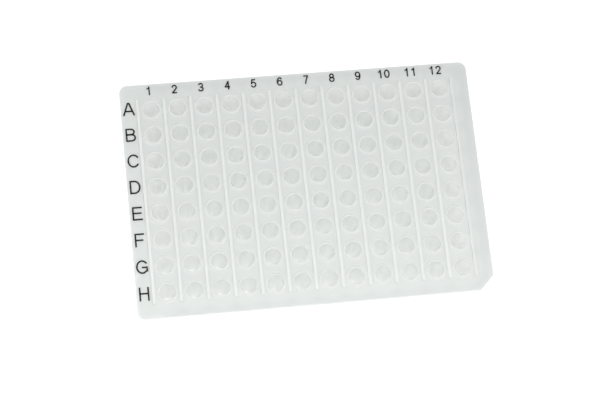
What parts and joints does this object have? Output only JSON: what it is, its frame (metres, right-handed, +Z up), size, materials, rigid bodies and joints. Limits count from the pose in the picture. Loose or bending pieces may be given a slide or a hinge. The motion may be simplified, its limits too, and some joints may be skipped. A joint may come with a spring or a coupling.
{
  "type": "well plate",
  "caption": "Low-profile lab plate without a skirt: a thin flat deck with a grid of small conical wells, raised round rims, ribs between the columns and one cut corner.",
  "frame": {"origin": "midway between the deck's four edges, on the plane that the well tips stand on", "axes": "+X along a row, from the first column to the last; +Y from the last row to the first; +Z up, the way the wells open"},
  "size_m": [0.1196, 0.0804, 0.0155],
  "materials": {
    "plate": "satin"
  },
  "bodies": {
    "root": {"plate": "plate"}
  },
  "joints": []
}
